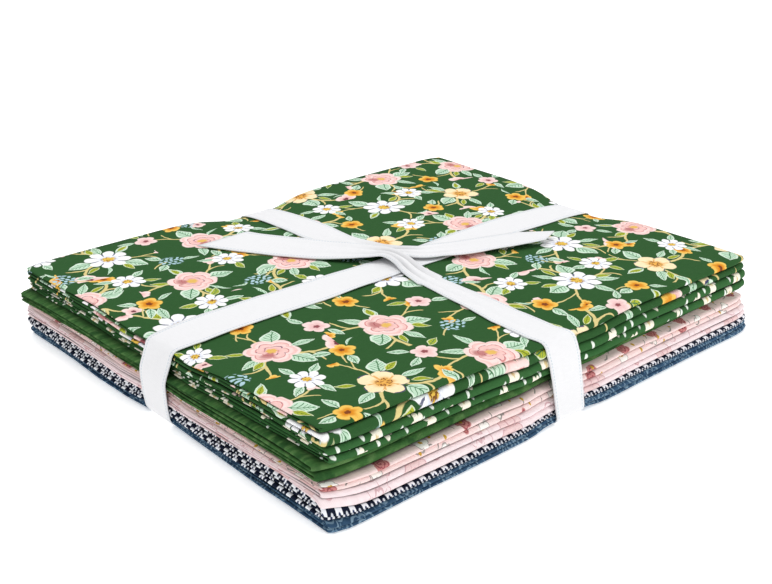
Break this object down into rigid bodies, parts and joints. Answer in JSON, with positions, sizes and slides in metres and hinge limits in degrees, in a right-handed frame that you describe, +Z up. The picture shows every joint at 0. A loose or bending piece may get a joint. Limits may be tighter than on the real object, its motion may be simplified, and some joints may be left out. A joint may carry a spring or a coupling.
{
  "type": "fabric bundle",
  "caption": "Stack of folded quilting cotton cuts in co-ordinated prints, tied crosswise with a flat ribbon and a half knot on top.",
  "frame": {"origin": "middle of the bundle's underside, on the surface that it rests on", "axes": "+X along the longer side of the folded cuts, +Y from their round folds at the front towards their free edges at the back, +Z up through the stack"},
  "size_m": [0.2894, 0.237, 0.046],
  "materials": {
    "blue_cotton": "plain-weave cotton, printed, matte",
    "check_cotton": "plain-weave cotton, printed, matte",
    "blush_cotton": "plain-weave cotton, printed, matte",
    "posy_cotton": "plain-weave cotton, printed, matte",
    "mottled_cotton": "plain-weave cotton, printed, matte",
    "blossom_cotton": "plain-weave cotton, printed, matte",
    "floral_cotton": "plain-weave cotton, printed, matte",
    "ribbon_weave": "white woven ribbon with a soft satin sheen"
  },
  "bodies": {
    "root": {"cloth_blue": "blue_cotton", "cloth_check": "check_cotton", "cloth_blush": "blush_cotton", "cloth_posy": "posy_cotton", "cloth_mottled": "mottled_cotton", "cloth_blossom": "blossom_cotton", "cloth_floral": "floral_cotton", "ribbon": "ribbon_weave"}
  },
  "joints": []
}
